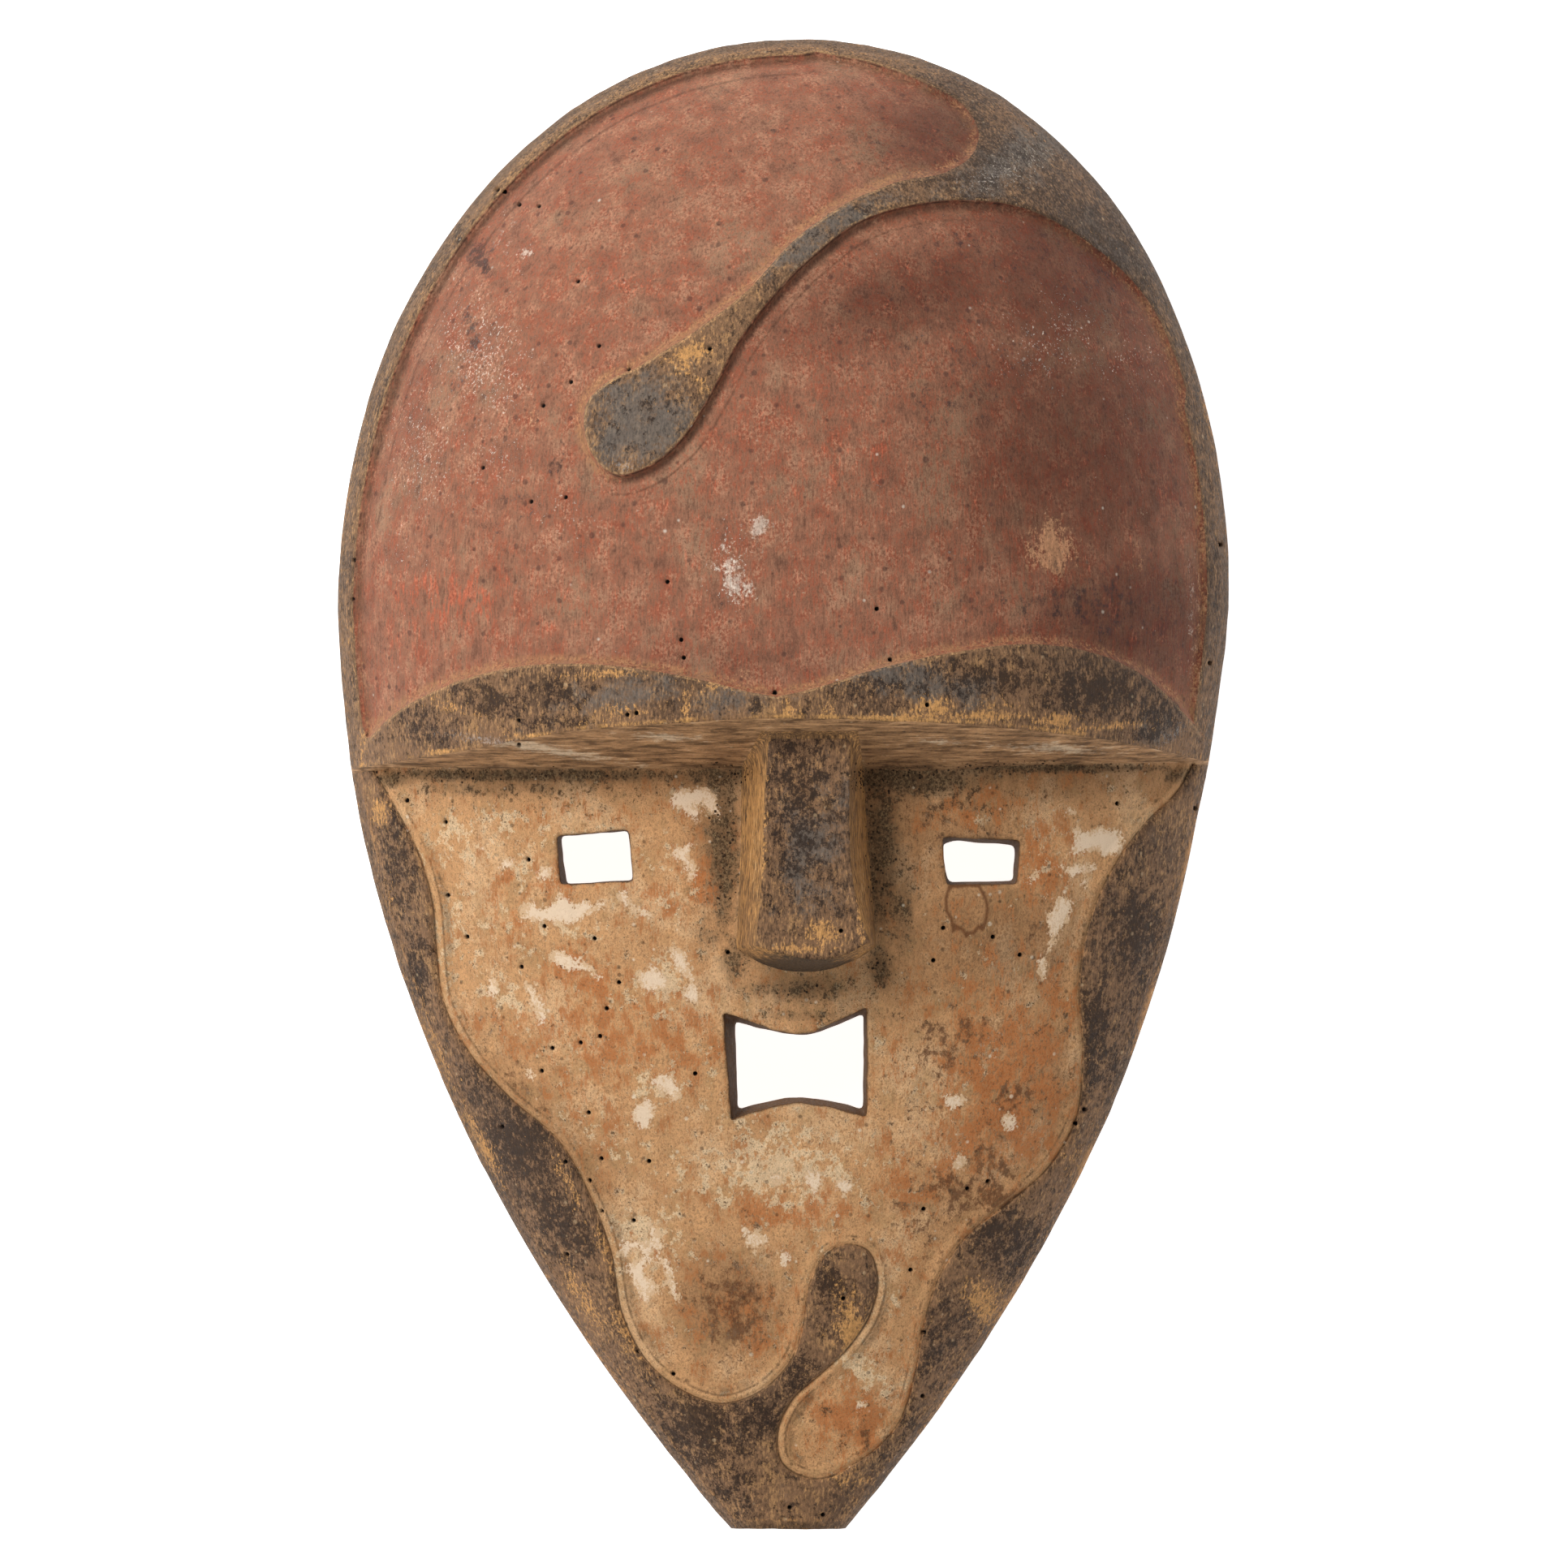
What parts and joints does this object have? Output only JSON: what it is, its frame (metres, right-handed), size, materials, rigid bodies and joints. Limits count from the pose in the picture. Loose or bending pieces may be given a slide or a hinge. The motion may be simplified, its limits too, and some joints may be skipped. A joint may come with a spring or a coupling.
{
  "type": "galwa mask",
  "caption": "Carved wooden face mask lying on its back rim, hollow behind, pierced at the eyes and mouth, with sunk painted fields between raised bands.",
  "frame": {"origin": "bottom centre of the mask's box, on the plane of its back rim", "axes": "+Z out of the face, +Y to the crown, +X to the viewer's right"},
  "size_m": [0.2154, 0.36, 0.097],
  "materials": {
    "painted_wood": "hand-carved soft wood with worn matt earth pigments: red, black and kaolin"
  },
  "bodies": {
    "root": {"mask": "painted_wood"}
  },
  "joints": []
}
